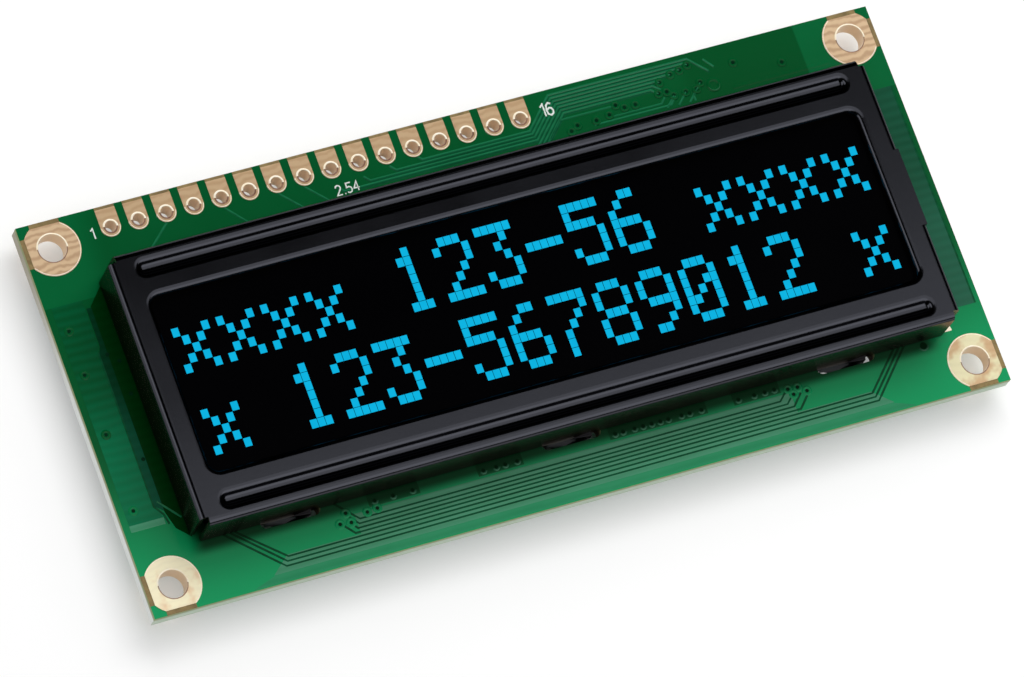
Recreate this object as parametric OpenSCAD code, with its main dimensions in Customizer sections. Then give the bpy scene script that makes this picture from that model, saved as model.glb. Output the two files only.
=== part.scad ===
// Character OLED module: a black bezel clamps a dark display onto a green circuit board.
// X runs along the board, Y towards the header row, Z out of the display.
// The origin lies under the middle of the board, on the surface that the bezel's tabs stand on.

/* [Board] */
// Length of the board along X
board_w = 80; // [79:0.5:90]
// Width of the board along Y
board_d = 36; // [35:0.5:44]
// Thickness of the board
board_t = 1.6; // [0.8:0.1:2.4]
// Thickness of copper lands and of the plating in the holes
copper_t = 0.05; // [0.03:0.01:0.08]
// Bare laminate left between a land and the board's edge
edge_bare = 0.4; // [0.2:0.05:0.6]

/* [Mounting holes] */
// Distance from the board's edges to the middle of a mounting hole
hole_inset = 2.5; // [2.3:0.1:2.8]
// Clear diameter of a mounting hole
hole_d = 2.5; // [2:0.1:3]
// Diameter of the land round a mounting hole
land_d = 5; // [4:0.1:5.2]

/* [Header row] */
// Number of header holes
pin_count = 16; // [8:1:18]
// Distance from one header hole to the next
pin_pitch = 2.54; // [2:0.01:2.6]
// Clear diameter of a header hole
pin_hole_d = 1; // [0.8:0.05:1.2]
// Width of a header land
pad_w = 1.8; // [1.5:0.05:1.9]
// Distance from the board's left edge to the first header hole
pin_inset_x = 8; // [6.5:0.5:9]
// Distance from the board's header edge to the row of holes
pin_inset_y = 1.95; // [1.7:0.05:2.3]

/* [Bezel] */
// Outer length of the bezel along X
bezel_w = 70.8; // [70:0.2:72]
// Outer width of the bezel along Y
bezel_d = 24.8; // [24.4:0.1:25.4]
// Height of the bezel's face above the board
bezel_h = 4.5; // [4.2:0.1:6]
// Shift of the bezel along X from the middle of the board
bezel_x = 0.7; // [-1:0.1:1]
// Shift of the bezel along Y from the middle of the board
bezel_y = -0.2; // [-0.5:0.1:0.5]
// Thickness of the sheet
sheet_t = 0.4; // [0.3:0.05:0.5]
// Outer radius of the bends along the four edges
bend_r = 0.6; // [0.55:0.05:0.8]
// Gap between the walls and the board
wall_gap = 0.1; // [0.09:0.01:0.2]
// Side of the square cut out where two walls meet
relief = 0.7; // [0.7:0.05:1]
// Length of the cut-out in the right-hand wall
port_len = 7.2; // [4:0.2:12]

/* [Window] */
// Clear length of the window along X
window_w = 66; // [64:0.1:66.2]
// Clear width of the window along Y
window_d = 16; // [15:0.1:16.4]
// Radius of the window's corners
window_r = 0.9; // [0.6:0.1:2]
// Outer radius of the lip that is rolled down round the window
roll_r = 0.55; // [0.55:0.05:0.7]
// Straight end of that lip
lip_end = 0.3; // [0.2:0.05:0.4]

/* [Beads] */
// Length of the two pressed beads along X
bead_len = 66.9; // [50:0.1:67.5]
// Width of a bead
bead_w = 2; // [1.4:0.1:2.2]
// Share of the room above the glass that a bead takes up
bead_share = 0.83; // [0.5:0.01:0.9]
// Share of a bead's curve that is its round floor
bead_floor = 0.48; // [0.4:0.01:0.7]
// Distance from the bezel's long edge to the middle of a bead
bead_inset = 1.75; // [1.7:0.05:2]

/* [Tabs] */
// Number of tabs on each long wall
tab_count = 3; // [2:1:4]
// Distance from one tab to the next
tab_pitch = 26; // [16:0.5:27]
// X of the middle of each row of tabs
tab_row_x = 0.2; // [-0.5:0.1:0.8]
// Width of the head of a tab
tab_w = 4.2; // [3:0.1:4.6]
// Width of the neck that passes the board
neck_w = 3.8; // [2.4:0.1:4]
// Turn of the neck inside the board, in degrees
neck_twist = 6; // [0:1:8]
// Height of the head, which is what the module stands on
tab_drop = 1.4; // [1.35:0.05:2]
// Turn of the head that locks it, in degrees
tab_twist = 25; // [10:1:40]
// Length of the slot in the board
slot_len = 5.5; // [5:0.1:6]
// Room in the slot outside the wall
slot_out = 0.45; // [0.4:0.05:0.8]
// Room in the slot inside the wall
slot_in = 0.3; // [0.3:0.05:0.6]

/* [Display] */
// Room between the glass and the bezel's walls
glass_room = 0.3; // [0.2:0.05:0.5]
// Thickness of each sheet of glass
glass_t = 0.7; // [0.5:0.05:0.8]
// Thickness of the polariser
film_t = 0.2; // [0.1:0.02:0.3]
// How far the polariser reaches past the window on each side
film_margin = 0.8; // [0.4:0.1:1]
// Gap between the window's lip and the polariser
film_gap = 0.05; // [0.03:0.01:0.1]
// Width of the glass ledge that the flexible tail is bonded to
ledge = 3; // [2.8:0.1:3.4]
// Depth of the hollow in the cover glass
hollow = 0.3; // [0.2:0.05:0.4]
// Number of character places in a line
chars = 16; // [8:1:16]
// Number of lines
lines = 2; // [1:1:2]
// Dots across a character
dot_columns = 5; // [5:1:5]
// Dots down a character
dot_rows = 8; // [7:1:8]
// Distance between dots along X
dot_pitch_x = 0.674; // [0.5:0.002:0.68]
// Distance between dots along Y
dot_pitch_y = 0.833; // [0.6:0.002:0.84]
// Dark gap between dots
dot_gap = 0.045; // [0.02:0.005:0.1]
// Thickness of the layer that gives the light
emitter_t = 0.05; // [0.02:0.01:0.1]
// Thickness of the flexible tail
flex_t = 0.1; // [0.06:0.01:0.15]
// Width of the flexible tail
flex_w = 44; // [20:1:56]

/* [Parts on the back] */
// Diameter of the epoxy glob
glob_d = 15; // [10:0.5:18]
// Height of the epoxy glob
glob_h = 1.25; // [0.9:0.05:1.3]
// X and Y of the epoxy glob
glob_at = [-9, -0.5]; // [-20:0.5:20]
// Side of the driver chip
die_w = 3.6; // [2:0.1:5]
// Thickness of the driver chip
die_t = 0.4; // [0.2:0.05:0.6]
// Diameter of the inductor's flanges
coil_d = 4.2; // [3:0.1:5]
// Height of the inductor
coil_h = 1.2; // [0.9:0.05:1.3]
// X and Y of the inductor
coil_at = [21.5, 3.5]; // [-30:0.5:30]
// X and Y of the diode
diode_at = [21.5, -4]; // [-30:0.5:30]
// Length, width and height of the diode's body
diode_size = [2.7, 1.6, 1.05]; // [0.5:0.05:4]
// Length, width and height of a chip capacitor
cap_size = [2, 1.25, 1]; // [0.4:0.05:3]
// Length, width and height of a chip resistor
res_size = [1.6, 0.8, 0.45]; // [0.4:0.05:3]
// Number of chip resistors in their row
res_count = 6; // [2:1:8]
// Distance between chip resistors
res_pitch = 2.4; // [1.6:0.1:3]
// X and Y of the first chip resistor
res_at = [3, 7.6]; // [-10:0.1:20]
// Share of a chip's length that is tinned at each end
tin_share = 0.2; // [0.15:0.01:0.3]
// Foot of a solder fillet
fillet_w = 0.4; // [0.2:0.05:0.6]
// Side of a jumper land
jumper_w = 1.1; // [0.8:0.1:1.5]
// Number of jumper pairs
jumper_count = 3; // [1:1:4]
// X and Y of the first jumper pair
jumper_at = [4, -7.5]; // [-10:0.1:20]
// Diameter of the bare copper patch by the bezel's corner
patch_d = 1.5; // [0.8:0.1:2]

/* [Hidden] */
$fn = 64;
over = 0.2;
z_back = tab_drop;
z_top = z_back + board_t;
z_face = z_top + bezel_h;
lip_depth = roll_r + lip_end;
z_film = z_face - lip_depth - film_gap;
z_front = z_film - film_t;
z_cover = z_front - glass_t;
z_pad = z_cover - glass_t;

hole_span_x = board_w - 2 * hole_inset;
hole_span_y = board_d - 2 * hole_inset;
board_hole_d = hole_d + 2 * copper_t;
board_pin_d = pin_hole_d + 2 * copper_t;
pin_x = -board_w / 2 + pin_inset_x;
pin_y = board_d / 2 - pin_inset_y;
land_edge_x = board_w / 2 - edge_bare;
land_edge_y = board_d / 2 - edge_bare;

wall_y = bezel_d / 2 - sheet_t / 2;
slot_w = slot_in + sheet_t + slot_out;
slot_y = bezel_d / 2 - sheet_t - slot_in + slot_w / 2;

inner_w = bezel_w - 2 * sheet_t;
inner_d = bezel_d - 2 * sheet_t;
glass_w = inner_w - 2 * glass_room;
glass_d = inner_d - 2 * glass_room;
cover_d = glass_d - ledge;

bead_depth = bead_share * (z_face - sheet_t - z_front);
bead_turn = 2 * atan(bead_depth / (bead_w / 2));
bead_curve = bead_w / 2 / sin(bead_turn);
bead_floor_r = bead_floor * bead_curve;
bead_edge_r = bead_curve - bead_floor_r;
bead_knee = -bead_edge_r * (1 - cos(bead_turn));

// The patch lies in the open corner of the bezel, but keeps clear of the mounting land beside it
patch_room = 0.3;
patch_x = bezel_x + bezel_w / 2 - relief / 2;
patch_reach = (land_d + patch_d) / 2 + patch_room;
patch_aside = hole_span_x / 2 - patch_x;
patch_rise = sqrt(max(0, patch_reach * patch_reach - patch_aside * patch_aside));
patch_y = max(bezel_y - bezel_d / 2 + relief / 2, -hole_span_y / 2 + patch_rise);

cell_w = dot_columns * dot_pitch_x - dot_gap;
cell_d = dot_rows * dot_pitch_y - dot_gap;
cell_pitch_x = (dot_columns + 1) * dot_pitch_x;
cell_pitch_y = (dot_rows + 1) * dot_pitch_y;
cells_w = (chars - 1) * cell_pitch_x + cell_w;
cells_d = (lines - 1) * cell_pitch_y + cell_d;
hollow_room = 0.4;

flex_drop = z_cover - z_top;
flex_flat = 1.6;
flex_edge = -glass_d / 2;

die_gap = 0.02;
dome_fn = 720;
coil_waist = coil_d * 0.5;
coil_flange = coil_h * 0.25;
wire_d = (coil_h - 2 * coil_flange) / 3;

cap_spots = [[14, 4.5], [14, -2.5], [29, 4.5], [29, -3]];
cap_list = [for (spot = cap_spots) [spot, cap_size]];
res_list = [for (i = [0:res_count - 1]) [[res_at[0] + i * res_pitch, res_at[1]], res_size]];
chip_list = concat(cap_list, res_list);

// Places its children at the four mounting holes
module at_holes() {
  for (x = [-1, 1])
    for (y = [-1, 1])
      translate([x * hole_span_x / 2, y * hole_span_y / 2, 0])
        children();
}

// Places its children at the header holes
module at_pins() {
  for (i = [0:pin_count - 1])
    translate([pin_x + i * pin_pitch, pin_y, 0])
      children();
}

// Places its children at the tabs, turned so that +Y points out of the bezel
module at_tabs() {
  for (side = [0, 180])
    for (i = [0:tab_count - 1])
      translate([tab_row_x + (i - (tab_count - 1) / 2) * tab_pitch, bezel_y, 0])
        rotate([0, 0, side])
          children();
}

// Box that is centred in X and Y and stands on z = 0
module block(size) {
  translate([-size[0] / 2, -size[1] / 2, 0])
    cube(size);
}

// Rectangle with round corners
module soft_rectangle(w, d, r) {
  square([w - 2 * r, d], center = true);
  square([w, d - 2 * r], center = true);
  for (x = [-1, 1])
    for (y = [-1, 1])
      translate([x * (w / 2 - r), y * (d / 2 - r)])
        circle(r);
}

// Slot with round ends
module slot_outline(length, width) {
  square([length - width, width], center = true);
  for (x = [-1, 1])
    translate([x * (length - width) / 2, 0])
      circle(d = width);
}

// Board with its mounting holes, header holes and tab slots
module circuit_board() {
  color("#1f7a4d")
    difference() {
      translate([0, 0, z_back])
        block([board_w, board_d, board_t]);
      at_holes()
        cylinder(d = board_hole_d, h = z_top + over);
      at_pins()
        cylinder(d = board_pin_d, h = z_top + over);
      at_tabs()
        translate([0, slot_y, 0])
          linear_extrude(z_top + over)
            slot_outline(slot_len, slot_w);
    }
}

// Plated hole: the same land on both faces of the board, joined by a sleeve
module plated_hole(clear_d) {
  difference() {
    union() {
      for (z = [z_back - copper_t, z_top])
        translate([0, 0, z])
          linear_extrude(copper_t)
            children();
      translate([0, 0, z_back])
        cylinder(d = clear_d + 2 * copper_t, h = board_t);
    }
    translate([0, 0, z_back - over])
      cylinder(d = clear_d, h = board_t + 2 * over);
  }
}

// Round lands of the mounting holes, cut flat beside the board's edges
module mounting_lands() {
  color("#d9bd8b")
    for (x = [-1, 1])
      for (y = [-1, 1])
        translate([x * hole_span_x / 2, y * hole_span_y / 2, 0])
          plated_hole(hole_d)
            intersection() {
              circle(d = land_d);
              translate([-x * hole_span_x / 2, -y * hole_span_y / 2])
                square([2 * land_edge_x, 2 * land_edge_y], center = true);
            }
}

// Header lands: round towards the bezel, straight towards the board's edge
module header_lands() {
  color("#d9bd8b")
    at_pins()
      plated_hole(pin_hole_d)
        union() {
          circle(d = pad_w);
          translate([-pad_w / 2, 0])
            square([pad_w, land_edge_y - pin_y]);
        }
}

// Bare copper that peeps out under the bezel's lower right corner
module earth_land() {
  color("#c98f63")
    translate([patch_x, patch_y, z_top])
      cylinder(d = patch_d, h = copper_t);
}

// Upright rectangle with round upper corners
module arch(w, h, r) {
  translate([-w / 2, 0])
    square([w, h - r]);
  translate([-w / 2 + r, 0])
    square([w - 2 * r, h]);
  for (x = [-1, 1])
    translate([x * (w / 2 - r), h - r])
      circle(r);
}

// Block whose four upper edges are round, as a folded sheet leaves them
module folded_block(w, d, h, r) {
  intersection() {
    rotate([90, 0, 0])
      linear_extrude(d, center = true)
        arch(w, h, r);
    rotate([90, 0, 90])
      linear_extrude(w, center = true)
        arch(d, h, r);
  }
}

// Section of a bead: convex edges run into a round floor, with the face at y = 0
module bead_section() {
  intersection() {
    translate([0, bead_floor_r - bead_depth])
      circle(bead_floor_r);
    translate([-bead_w / 2, -bead_depth - over])
      square([bead_w, bead_depth + over + bead_knee]);
  }
  difference() {
    translate([-bead_w / 2, bead_knee])
      square([bead_w, over - bead_knee]);
    for (x = [-1, 1])
      translate([x * bead_w / 2, -bead_edge_r])
        circle(bead_edge_r);
  }
}

// Half of that section, for the round ends
module bead_half_section() {
  intersection() {
    bead_section();
    translate([0, -bead_depth - over])
      square([bead_w, bead_depth + 3 * over]);
  }
}

// Bead along X with round ends
module bead() {
  straight = bead_len - bead_w;
  rotate([90, 0, 90])
    linear_extrude(straight, center = true)
      bead_section();
  for (side = [0, 180])
    rotate([0, 0, side])
      translate([straight / 2, 0, 0])
        rotate([0, 0, -90])
          rotate_extrude(angle = 180)
            bead_half_section();
}

// Places its children on the middle line of each bead
module at_beads(z) {
  for (y = [-1, 1])
    translate([0, y * (bezel_d / 2 - bead_inset), z])
      children();
}

// Section of the lip: a quarter turn of the sheet that starts in the face, then a short straight end
module lip_section() {
  translate([roll_r, -sheet_t])
    square([over, sheet_t]);
  intersection() {
    translate([roll_r, -roll_r])
      difference() {
        circle(roll_r);
        circle(roll_r - sheet_t);
      }
    translate([0, -roll_r])
      square(roll_r);
  }
  translate([0, -lip_depth])
    square([sheet_t, lip_end]);
}

// The lip all round the window, below the face at z = 0
module window_lip() {
  side_x = window_w / 2 - window_r;
  side_y = window_d / 2 - window_r;
  for (turn = [0, 180])
    rotate([0, 0, turn]) {
      translate([window_w / 2, 0, 0])
        rotate([90, 0, 0])
          linear_extrude(2 * side_y, center = true)
            lip_section();
      translate([0, window_d / 2, 0])
        rotate([90, 0, 90])
          linear_extrude(2 * side_x, center = true)
            lip_section();
      translate([side_x, side_y, 0])
        rotate_extrude(angle = 90)
          translate([window_r, 0])
            lip_section();
      translate([-side_x, side_y, 0])
        rotate([0, 0, 90])
          rotate_extrude(angle = 90)
            translate([window_r, 0])
              lip_section();
    }
}

// Opening in the face, up to where the lip starts
module window_opening() {
  translate([0, 0, z_face - sheet_t - over])
    linear_extrude(sheet_t + 2 * over)
      soft_rectangle(window_w + 2 * roll_r, window_d + 2 * roll_r, window_r + roll_r);
}

// Cuts that keep the walls apart at the corners
module corner_reliefs() {
  for (x = [-1, 1])
    for (y = [-1, 1])
      translate([x * bezel_w / 2, y * bezel_d / 2, z_top])
        linear_extrude(bezel_h + over)
          square(2 * relief, center = true);
}

// Tab: a neck that starts to turn inside the board, and a head behind it that is turned further
module tab() {
  translate([0, wall_y, z_top - over])
    block([neck_w, sheet_t, wall_gap + 2 * over]);
  translate([0, wall_y, z_back - over])
    rotate([0, 0, -neck_twist])
      block([neck_w, sheet_t, board_t + over / 2]);
  translate([0, wall_y, 0])
    rotate([0, 0, -tab_twist])
      block([tab_w, sheet_t, tab_drop - copper_t]);
}

// Folded sheet with hollow walls, before the cuts
module bezel_shell() {
  difference() {
    translate([0, 0, z_top])
      folded_block(bezel_w, bezel_d, bezel_h, bend_r);
    translate([0, 0, z_top - over])
      folded_block(inner_w, inner_d, bezel_h - sheet_t + over, bend_r - sheet_t);
    translate([0, 0, z_top - over])
      block([bezel_w + over, bezel_d + over, wall_gap + over]);
    translate([inner_w / 2, 0, z_top + (bezel_h - sheet_t) / 2])
      cube([2 * bend_r, port_len, bezel_h - sheet_t], center = true);
  }
}

// Flat tongue of the face over the cut-out in the right-hand wall
module port_tongue() {
  translate([bezel_w / 2 - bend_r, 0, z_face - sheet_t])
    translate([0, -port_len / 2, 0])
      cube([bend_r, port_len, sheet_t]);
}

// Bezel in one piece, from the face to the tabs
module bezel() {
  color("#26262a")
    union() {
      translate([bezel_x, bezel_y, 0]) {
        difference() {
          union() {
            bezel_shell();
            port_tongue();
            at_beads(z_face - sheet_t)
              bead();
          }
          at_beads(z_face)
            bead();
          window_opening();
          corner_reliefs();
        }
        translate([0, 0, z_face])
          window_lip();
      }
      at_tabs()
        tab();
    }
}

// Dark film that shows in the window
module polariser() {
  color("#0b0b0d")
    translate([bezel_x, bezel_y, z_front])
      block([window_w + 2 * film_margin, window_d + 2 * film_margin, film_t]);
}

// Glass that carries the light-giving layer on its inner face
module front_glass() {
  color("#9fb4b0")
    translate([bezel_x, bezel_y, z_cover])
      block([glass_w, glass_d, glass_t]);
}

// Glass behind the layer, set back from the ledge and hollowed out
module cover_glass() {
  color("#8ba3a0")
    translate([bezel_x, bezel_y, 0])
      difference() {
        translate([0, ledge / 2, z_pad])
          block([glass_w, cover_d, glass_t]);
        translate([0, 0, z_cover - hollow])
          block([cells_w + 2 * hollow_room, cells_d + 2 * hollow_room, hollow + over]);
      }
}

// Light-giving layer: one field for each character place
module emitter_cells() {
  color("#1cb4ee")
    translate([bezel_x, bezel_y, z_cover - emitter_t])
      for (i = [0:chars - 1])
        for (j = [0:lines - 1])
          translate([(i - (chars - 1) / 2) * cell_pitch_x, (j - (lines - 1) / 2) * cell_pitch_y, 0])
            block([cell_w, cell_d, emitter_t]);
}

// Pad that carries the display above the board
module foam_pad() {
  color("#2c2c2c")
    translate([bezel_x, bezel_y + ledge / 2, z_top])
      block([glass_w - 2 * glass_room, cover_d - 2 * glass_room, z_pad - z_top]);
}

// Foil bonded under the ledge, bent round and soldered to the board
module flex_tail() {
  color("#c98a34")
    translate([bezel_x, bezel_y + flex_edge + flex_flat, z_top + flex_drop / 2])
      rotate([90, 0, 90])
        linear_extrude(flex_w, center = true) {
          intersection() {
            difference() {
              circle(d = flex_drop);
              circle(d = flex_drop - 2 * flex_t);
            }
            translate([0, -flex_drop])
              square(2 * flex_drop);
          }
          for (y = [-flex_drop / 2, flex_drop / 2 - flex_t])
            translate([-flex_flat, y])
              square([flex_flat, flex_t]);
        }
}

// Driver chip glued to the back of the board
module controller_die() {
  color("#5b6068")
    translate([glob_at[0], glob_at[1], z_back - die_t])
      block([die_w, die_w, die_t]);
}

// Shallow dome of epoxy over the chip
module epoxy_glob() {
  dome_r = (glob_d * glob_d / 4 + glob_h * glob_h) / (2 * glob_h);
  die_space = die_w + 2 * die_gap;
  color("#17171a")
    translate([glob_at[0], glob_at[1], z_back])
      difference() {
        rotate_extrude()
          intersection() {
            translate([0, dome_r - glob_h])
              circle(dome_r, $fn = dome_fn);
            translate([0, -2 * glob_h])
              square([glob_d, 2 * glob_h]);
          }
        translate([0, 0, -die_t - die_gap])
          block([die_space, die_space, die_t + die_gap + over]);
      }
}

// Ferrite drum of the inductor
module inductor_core() {
  color("#3a3a3f")
    translate([coil_at[0], coil_at[1], z_back - coil_h])
      union() {
        cylinder(d = coil_waist, h = coil_h);
        cylinder(d = coil_d, h = coil_flange);
        translate([0, 0, coil_h - coil_flange])
          cylinder(d = coil_d, h = coil_flange);
      }
}

// Turns of wire on the drum's waist
module inductor_coil() {
  color("#b8692e")
    translate([coil_at[0], coil_at[1], z_back - coil_h / 2])
      rotate_extrude()
        translate([coil_waist / 2, 0]) {
          translate([0, -1.5 * wire_d])
            square([wire_d, 3 * wire_d]);
          for (i = [-1:1])
            translate([wire_d, i * wire_d])
              circle(d = wire_d);
        }
}

// Moulded body of the diode, with sloping ends
module diode_body() {
  l = diode_size[0];
  h = diode_size[2];
  slope = h / 8;
  color("#1d1d20")
    translate([diode_at[0], diode_at[1], z_back])
      rotate([90, 0, 0])
        linear_extrude(diode_size[1], center = true)
          polygon([
            [-l / 2 + slope, -h], [l / 2 - slope, -h], [l / 2, -h / 2],
            [l / 2 - slope, 0], [-l / 2 + slope, 0], [-l / 2, -h / 2]
          ]);
}

// Flat leads that step from the diode's ends down to the board
module diode_leads() {
  l = diode_size[0];
  h = diode_size[2];
  lead_t = h / 8;
  lead_w = diode_size[1] * 0.4;
  foot = 0.5;
  color("#c9ccd0")
    for (side = [0, 180])
      translate([diode_at[0], diode_at[1], z_back])
        rotate([0, 0, side])
          translate([l / 2, 0, 0])
            rotate([90, 0, 0])
              linear_extrude(lead_w, center = true)
                polygon([
                  [0, -h / 2], [2 * lead_t, -h / 2], [2 * lead_t, -lead_t], [foot, -lead_t],
                  [foot, 0], [lead_t, 0], [lead_t, -h / 2 + lead_t], [0, -h / 2 + lead_t]
                ]);
}

// Middle of each chip in a list, between its tinned ends
module chip_bodies(list) {
  for (chip = list)
    translate([chip[0][0], chip[0][1], z_back - chip[1][2]])
      block([chip[1][1], chip[1][0] * (1 - 2 * tin_share), chip[1][2]]);
}

// Ceramic middles of the capacitors
module chip_capacitors() {
  color("#b08f63")
    chip_bodies(cap_list);
}

// Dark middles of the resistors
module chip_resistors() {
  color("#202124")
    chip_bodies(res_list);
}

// Tinned ends of all chips
module chip_terminals() {
  color("#c9ccd0")
    for (chip = chip_list)
      for (side = [-1, 1])
        translate([chip[0][0], chip[0][1] + side * chip[1][0] * (1 - tin_share) / 2, z_back - chip[1][2]])
          block([chip[1][1], chip[1][0] * tin_share, chip[1][2]]);
}

// Solder that climbs the ends of all chips
module solder_fillets() {
  color("#b9bdc2")
    for (chip = chip_list)
      for (side = [90, -90])
        translate([chip[0][0], chip[0][1], z_back])
          rotate([0, 0, side])
            translate([chip[1][0] / 2, 0, 0])
              rotate([90, 0, 0])
                linear_extrude(chip[1][1], center = true)
                  difference() {
                    translate([0, -fillet_w])
                      square(fillet_w);
                    translate([fillet_w, -fillet_w])
                      circle(fillet_w * 0.9);
                  }
}

// Bare pairs of lands that a drop of solder can bridge
module jumper_lands() {
  color("#d9bd8b")
    for (i = [0:jumper_count - 1])
      for (j = [0, 1])
        translate([
          jumper_at[0] + 3 * i * jumper_w,
          jumper_at[1] + j * 1.3 * jumper_w,
          z_back - copper_t
        ])
          block([1.4 * jumper_w, jumper_w, copper_t]);
}

circuit_board();
mounting_lands();
header_lands();
earth_land();
bezel();
polariser();
front_glass();
cover_glass();
emitter_cells();
foam_pad();
flex_tail();
controller_die();
epoxy_glob();
inductor_core();
inductor_coil();
diode_body();
diode_leads();
chip_capacitors();
chip_resistors();
chip_terminals();
solder_fillets();
jumper_lands();
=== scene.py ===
"""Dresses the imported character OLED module: finishes, board tracks, print, lit dots, stage and camera."""

import math

import bmesh
import bpy
from mathutils import Matrix, Vector


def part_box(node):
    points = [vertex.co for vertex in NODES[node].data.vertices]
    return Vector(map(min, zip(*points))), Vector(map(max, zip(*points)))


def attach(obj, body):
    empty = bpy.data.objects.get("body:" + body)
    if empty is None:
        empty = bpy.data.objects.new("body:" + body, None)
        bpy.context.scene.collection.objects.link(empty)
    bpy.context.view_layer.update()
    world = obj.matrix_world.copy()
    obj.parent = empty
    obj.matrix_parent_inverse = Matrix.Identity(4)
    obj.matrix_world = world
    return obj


bl_info = {
    "name": "Character OLED module",
    "version": (1, 0, 0),
    "blender": (4, 5, 0),
    "location": "View3D > Sidebar > OLED module",
    "description": "Finishes and details for a character display on a green circuit board",
    "category": "Object",
}

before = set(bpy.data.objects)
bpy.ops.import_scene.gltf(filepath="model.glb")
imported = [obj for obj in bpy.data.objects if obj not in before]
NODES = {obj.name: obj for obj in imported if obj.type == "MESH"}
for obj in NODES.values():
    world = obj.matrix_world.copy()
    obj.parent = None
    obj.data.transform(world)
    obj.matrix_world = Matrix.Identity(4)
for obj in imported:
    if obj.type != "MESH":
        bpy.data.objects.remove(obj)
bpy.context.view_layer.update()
MM = 0.001

BOARD_LOW, BOARD_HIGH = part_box("circuit_board")
FILM_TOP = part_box("polariser")[1].z
PLATE = 0.05 * MM
POUR_RISE = 0.012 * MM
# Width of the bare strip between a land and the board's edge
BARE_EDGE = 0.4 * MM
PIN_FIRST = Vector((-32.0, 16.05)) * MM
PIN_PITCH = 2.54 * MM
PIN_LAND_END = BOARD_HIGH.y - BARE_EDGE
PIN_COUNT = 16
# Radii of the holes and of their lands, in millimetres
PIN_HOLE = 0.5
PAD_RADIUS = 0.9
MOUNT_HOLE = 1.25
LAND_RADIUS = 2.5
# Half the angle that the board's two edges take out of a land, seen from its hole
LAND_CUT = math.radians(78)
HOLE_SPOTS = [Vector((x * 37.5, y * 15.5)) * MM for x in (-1, 1) for y in (-1, 1)]


def linear(text):
    """Turns an sRGB hex value into linear red, green and blue."""
    values = [int(text[i : i + 2], 16) / 255 for i in (1, 3, 5)]
    return tuple(v / 12.92 if v <= 0.04045 else ((v + 0.055) / 1.055) ** 2.4 for v in values)


def rgba(colour):
    """Adds full opacity to a linear colour, or to one that is given as a hex value."""
    return (*(linear(colour) if isinstance(colour, str) else colour), 1.0)


# Node and mesh helpers

# Nodes that recur: the kind and its settings
MIX = ("Mix", {"data_type": "RGBA"})
TINT = ("Mix", {"data_type": "RGBA", "blend_type": "MULTIPLY"})
EASE = ("MapRange", {"interpolation_type": "SMOOTHSTEP"})
RANGE = ("MapRange", None)
NOISE = ("TexNoise", None)
BANDS = ("TexWave", {"bands_direction": "Y"})
SPLIT = ("SeparateXYZ", None)
TIMES = ("Math", {"operation": "MULTIPLY"})
TIMES_ADD = ("Math", {"operation": "MULTIPLY_ADD"})
NEAR = ("Math", {"operation": "COMPARE"})
OVER = ("Math", {"operation": "GREATER_THAN"})
UNDER = ("Math", {"operation": "LESS_THAN"})
BUMP = ("Bump", None)
SURFACE = ("BsdfPrincipled", None)
# A wave texture of scale 1 has twenty bands to a full turn
WAVE = math.tau / 20


def add_node(tree, kind, settings=None, inputs=None):
    """Adds a node, sets its properties, and fills its sockets from values, outputs or nodes."""
    node = tree.nodes.new("ShaderNode" + kind)
    for name, value in (settings or {}).items():
        setattr(node, name, value)
    for name, value in (inputs or {}).items():
        # A node stands for the first of its outputs that is in use
        if isinstance(value, bpy.types.Node):
            value = next(output for output in value.outputs if output.enabled)
        if isinstance(value, bpy.types.NodeSocket):
            tree.links.new(value, node.inputs[name])
        else:
            node.inputs[name].default_value = value
    return node


def new_material(name):
    """Starts an empty material and returns it with its tree and its object coordinates, in metres."""
    material = bpy.data.materials.new(name)
    material.use_nodes = True
    tree = material.node_tree
    tree.nodes.clear()
    place = add_node(tree, "TexCoord").outputs["Object"]
    return material, tree, place


def close_material(material, shader):
    """Links a shader to the material's output and gives the material back."""
    add_node(material.node_tree, "OutputMaterial", None, {"Surface": shader})
    return material


def per_mm(size):
    """Gives the texture scale whose features are about this many millimetres across."""
    return 1.0 / (size * MM)


def paint_nodes(material, *names):
    """Puts a material on CAD nodes."""
    for name in names:
        NODES[name].data.materials.clear()
        NODES[name].data.materials.append(material)


def add_object(name, data):
    """Puts a mesh, a lamp or a camera into the scene."""
    thing = bpy.data.objects.new(name, data)
    bpy.context.scene.collection.objects.link(thing)
    return thing


def add_piece(name, mesh, material):
    """Turns a bmesh into a piece that rides on the module."""
    data = bpy.data.meshes.new(name)
    bmesh.ops.recalc_face_normals(mesh, faces=mesh.faces)
    mesh.to_mesh(data)
    mesh.free()
    data.materials.append(material)
    piece = add_object(name, data)
    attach(piece, "root")


def add_ribbon(mesh, points, width, base, rise, crown=0.7):
    """Adds a flat track with sloping sides along a path of points; crown is the share that is flat."""
    path = [Vector(p) * MM for p in points]
    rows = []
    for i, point in enumerate(path):
        ahead = (path[min(i + 1, len(path) - 1)] - path[min(i, len(path) - 2)]).normalized()
        behind = (path[max(i, 1)] - path[max(i - 1, 0)]).normalized()
        along = (ahead + behind).normalized()
        reach = width / 2 / max(along.dot(ahead), 0.5)
        across = Vector((-along.y, along.x))
        row = []
        for share, height in ((-1, 0), (-crown, rise), (crown, rise), (1, 0)):
            spot = point + across * reach * share
            row.append(mesh.verts.new((spot.x, spot.y, base + height)))
        rows.append(row)
    for first, second in zip(rows, rows[1:]):
        for i in range(3):
            mesh.faces.new((first[i], first[i + 1], second[i + 1], second[i]))
    mesh.faces.new(rows[0])
    mesh.faces.new(rows[-1])


def add_ribbons(name, material, paths, *shape):
    """Makes one piece of tracks that share a width, base, rise and crown."""
    mesh = bmesh.new()
    for path in paths:
        add_ribbon(mesh, path, *shape)
    add_piece(name, mesh, material)


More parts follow.
